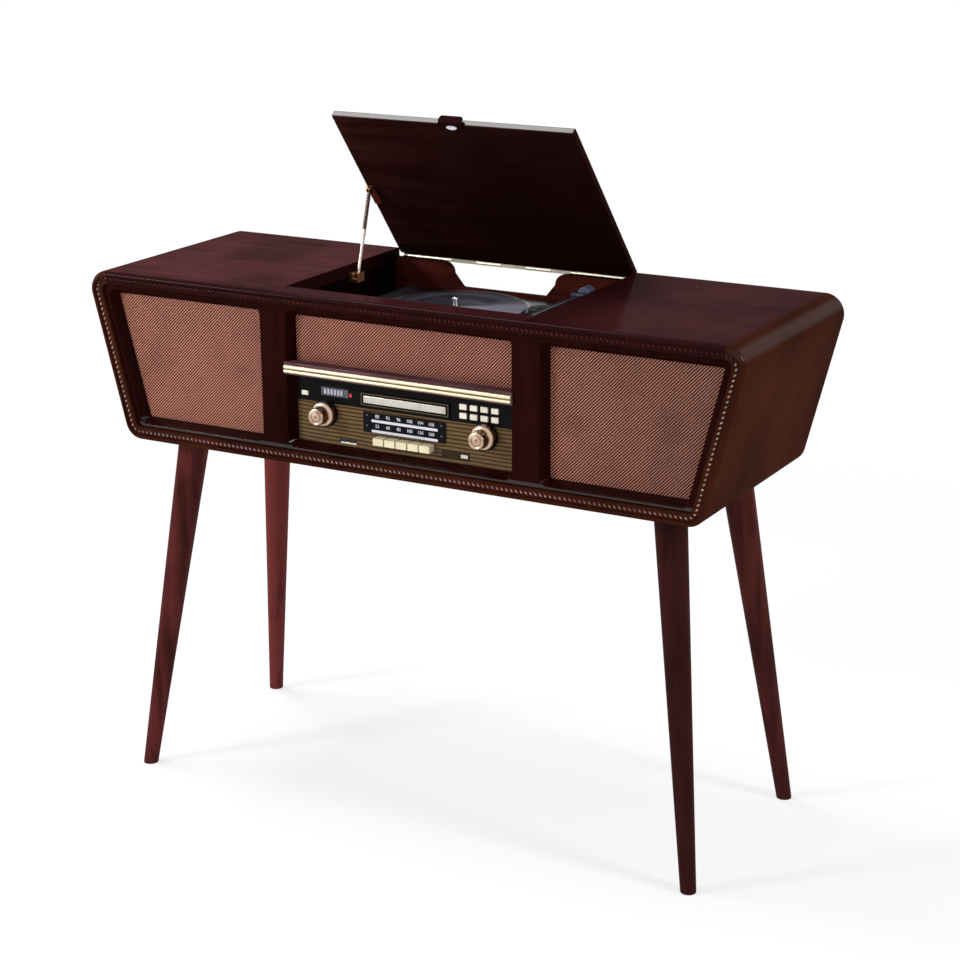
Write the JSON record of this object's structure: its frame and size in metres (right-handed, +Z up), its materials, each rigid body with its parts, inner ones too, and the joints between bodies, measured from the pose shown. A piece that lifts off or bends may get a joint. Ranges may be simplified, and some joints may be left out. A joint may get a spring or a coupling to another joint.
{
  "type": "standing record player",
  "caption": "Standing record player: slant sided wooden cabinet on splayed legs, lidded turntable, cloth grilles and a radio panel with knobs, keys and disc tray.",
  "frame": {"origin": "on the floor, under the middle of the cabinet", "axes": "+Z up, the front faces -Y, +X to the right as seen from the front"},
  "size_m": [0.9842, 0.3482, 0.9556],
  "materials": {
    "cabinet_wood": "gloss dark red brown lacquer",
    "baffle_wood": "satin dark brown lacquer",
    "back_board": "satin dark brown",
    "grille_fabric": "woven copper and dark brown cloth",
    "gold_trim": "polished",
    "plate_steel": "zinc plated",
    "well_wood": "satin",
    "deck_plastic": "black satin",
    "platter_aluminium": "turned",
    "mat_rubber": "ribbed",
    "spindle_chrome": "polished",
    "motor_metal": "satin",
    "pulley_brass": "turned",
    "belt_rubber": "matte",
    "arm_plastic": "black gloss",
    "arm_metal": "satin",
    "weight_metal": "blue grey satin",
    "hinge_brass": "bright",
    "stay_brass": "aged",
    "rod_chrome": "polished",
    "pull_plastic": "dark gloss",
    "fascia_metal": "striped olive gold under a black band",
    "dial_glass": "black gloss with plain figures",
    "tray_metal": "silver",
    "mechanism_steel": "plain",
    "knob_brass": "brushed",
    "button_white": "white gloss",
    "key_ivory": "ivory gloss",
    "speaker_black": "black",
    "board_green": "circuit board",
    "terminal_black": "black"
  },
  "bodies": {
    "cabinet": {"bottom_panel": "cabinet_wood", "left_side_panel": "cabinet_wood", "right_side_panel": "cabinet_wood", "top_panel": "cabinet_wood", "shelf_bar": "cabinet_wood", "leg_front_left": "cabinet_wood", "leg_front_right": "cabinet_wood", "leg_rear_left": "cabinet_wood", "leg_rear_right": "cabinet_wood", "back_panel": "back_board", "front_baffle": "baffle_wood", "left_grille_cloth": "grille_fabric", "centre_grille_cloth": "grille_fabric", "right_grille_cloth": "grille_fabric", "gold_trim": "gold_trim", "leg_plates": "plate_steel", "turntable_well": "well_wood", "deck_plate": "deck_plastic", "spindle": "spindle_chrome", "drive_motor": "motor_metal", "drive_belt": "belt_rubber", "tonearm_turret": "arm_plastic", "hinge_cabinet_leaf": "hinge_brass", "stay_cradle": "stay_brass", "radio_fascia": "fascia_metal", "dial_plate": "dial_glass", "cd_mechanism": "mechanism_steel", "left_speaker": "speaker_black", "right_speaker": "speaker_black", "amplifier_board": "board_green", "rear_terminals": "terminal_black"},
    "platter": {"platter": "platter_aluminium", "slip_mat": "mat_rubber"},
    "motor_pulley": {"motor_pulley": "pulley_brass"},
    "tonearm_yoke": {"tonearm_yoke": "arm_metal"},
    "tonearm": {"tonearm": "arm_metal", "counterweight": "weight_metal"},
    "speed_lever": {"speed_lever": "arm_plastic"},
    "lid": {"lid": "cabinet_wood", "hinge_lid_leaf": "hinge_brass", "lid_pull": "pull_plastic", "stay_lid_bracket": "stay_brass"},
    "stay": {"stay_rod": "rod_chrome"},
    "volume_knob": {"volume_knob": "knob_brass"},
    "tuning_knob": {"tuning_knob": "knob_brass"},
    "cd_tray": {"cd_tray": "tray_metal"},
    "preset_button_1": {"preset_button_1": "button_white"},
    "preset_button_2": {"preset_button_2": "button_white"},
    "preset_button_3": {"preset_button_3": "button_white"},
    "preset_button_4": {"preset_button_4": "button_white"},
    "preset_button_5": {"preset_button_5": "button_white"},
    "preset_button_6": {"preset_button_6": "button_white"},
    "preset_button_7": {"preset_button_7": "button_white"},
    "preset_button_8": {"preset_button_8": "button_white"},
    "power_button": {"power_button": "button_white"},
    "key_1": {"key_1": "key_ivory"},
    "key_2": {"key_2": "key_ivory"},
    "key_3": {"key_3": "key_ivory"},
    "key_4": {"key_4": "key_ivory"},
    "key_5": {"key_5": "key_ivory"}
  },
  "joints": [
    {"name": "lid_hinge", "type": "hinge", "parent": "cabinet", "child": "lid", "pos_m": [0, 0.1678, 0.7202], "axis": [1, 0, 0], "range_deg": [0, 50.6]},
    {"name": "stay_swing", "type": "hinge", "parent": "lid", "child": "stay", "pos_m": [-0.18, 0.07201, 0.8302], "axis": [1, 0, 0], "range_deg": [0, 51.14]},
    {"name": "platter_spin", "type": "hinge", "parent": "cabinet", "child": "platter", "pos_m": [-0.013, 0.02, 0.69], "axis": [0, 0, 1], "continuous": true},
    {"name": "pulley_spin", "type": "hinge", "parent": "cabinet", "child": "motor_pulley", "pos_m": [-0.07428, 0.07142, 0.684], "axis": [0, 0, 1], "continuous": true},
    {"name": "tonearm_swing", "type": "hinge", "parent": "cabinet", "child": "tonearm_yoke", "pos_m": [0.136, 0.098, 0.69], "axis": [0, 0, 1], "range_deg": [-45, 0]},
    {"name": "tonearm_lift", "type": "hinge", "parent": "tonearm_yoke", "child": "tonearm", "pos_m": [0.136, 0.098, 0.706], "axis": [-1, 0, 0], "range_deg": [0, 3.5]},
    {"name": "speed_lever_swing", "type": "hinge", "parent": "cabinet", "child": "speed_lever", "pos_m": [0.162, -0.02, 0.682], "axis": [0, 0, 1], "range_deg": [0, 40]},
    {"name": "volume_turn", "type": "hinge", "parent": "cabinet", "child": "volume_knob", "pos_m": [-0.1195, -0.15, 0.5677], "axis": [0, 1, 0], "range_deg": [0, 300]},
    {"name": "tuning_turn", "type": "hinge", "parent": "cabinet", "child": "tuning_knob", "pos_m": [0.1255, -0.15, 0.5677], "axis": [0, 1, 0], "continuous": true},
    {"name": "cd_tray_slide", "type": "slide", "parent": "cabinet", "child": "cd_tray", "axis": [0, -1, 0], "range_m": [0, 0.135]},
    {"name": "preset_button_1_press", "type": "slide", "parent": "cabinet", "child": "preset_button_1", "axis": [0, 1, 0], "range_m": [0, 0.0012], "stiffness_N_per_m": 800},
    {"name": "preset_button_2_press", "type": "slide", "parent": "cabinet", "child": "preset_button_2", "axis": [0, 1, 0], "range_m": [0, 0.0012], "stiffness_N_per_m": 800},
    {"name": "preset_button_3_press", "type": "slide", "parent": "cabinet", "child": "preset_button_3", "axis": [0, 1, 0], "range_m": [0, 0.0012], "stiffness_N_per_m": 800},
    {"name": "preset_button_4_press", "type": "slide", "parent": "cabinet", "child": "preset_button_4", "axis": [0, 1, 0], "range_m": [0, 0.0012], "stiffness_N_per_m": 800},
    {"name": "preset_button_5_press", "type": "slide", "parent": "cabinet", "child": "preset_button_5", "axis": [0, 1, 0], "range_m": [0, 0.0012], "stiffness_N_per_m": 800},
    {"name": "preset_button_6_press", "type": "slide", "parent": "cabinet", "child": "preset_button_6", "axis": [0, 1, 0], "range_m": [0, 0.0012], "stiffness_N_per_m": 800},
    {"name": "preset_button_7_press", "type": "slide", "parent": "cabinet", "child": "preset_button_7", "axis": [0, 1, 0], "range_m": [0, 0.0012], "stiffness_N_per_m": 800},
    {"name": "preset_button_8_press", "type": "slide", "parent": "cabinet", "child": "preset_button_8", "axis": [0, 1, 0], "range_m": [0, 0.0012], "stiffness_N_per_m": 800},
    {"name": "power_button_press", "type": "slide", "parent": "cabinet", "child": "power_button", "axis": [0, 1, 0], "range_m": [0, 0.0012], "stiffness_N_per_m": 800},
    {"name": "key_1_press", "type": "slide", "parent": "cabinet", "child": "key_1", "axis": [0, 1, 0], "range_m": [0, 0.003], "stiffness_N_per_m": 800},
    {"name": "key_2_press", "type": "slide", "parent": "cabinet", "child": "key_2", "axis": [0, 1, 0], "range_m": [0, 0.003], "stiffness_N_per_m": 800},
    {"name": "key_3_press", "type": "slide", "parent": "cabinet", "child": "key_3", "axis": [0, 1, 0], "range_m": [0, 0.003], "stiffness_N_per_m": 800},
    {"name": "key_4_press", "type": "slide", "parent": "cabinet", "child": "key_4", "axis": [0, 1, 0], "range_m": [0, 0.003], "stiffness_N_per_m": 800},
    {"name": "key_5_press", "type": "slide", "parent": "cabinet", "child": "key_5", "axis": [0, 1, 0], "range_m": [0, 0.003], "stiffness_N_per_m": 800}
  ],
  "couplings": [
    {"joint": "stay_swing", "follows": "lid_hinge", "ratio": 1.0096},
    {"joint": "pulley_spin", "follows": "platter_spin", "ratio": 10.333}
  ]
}
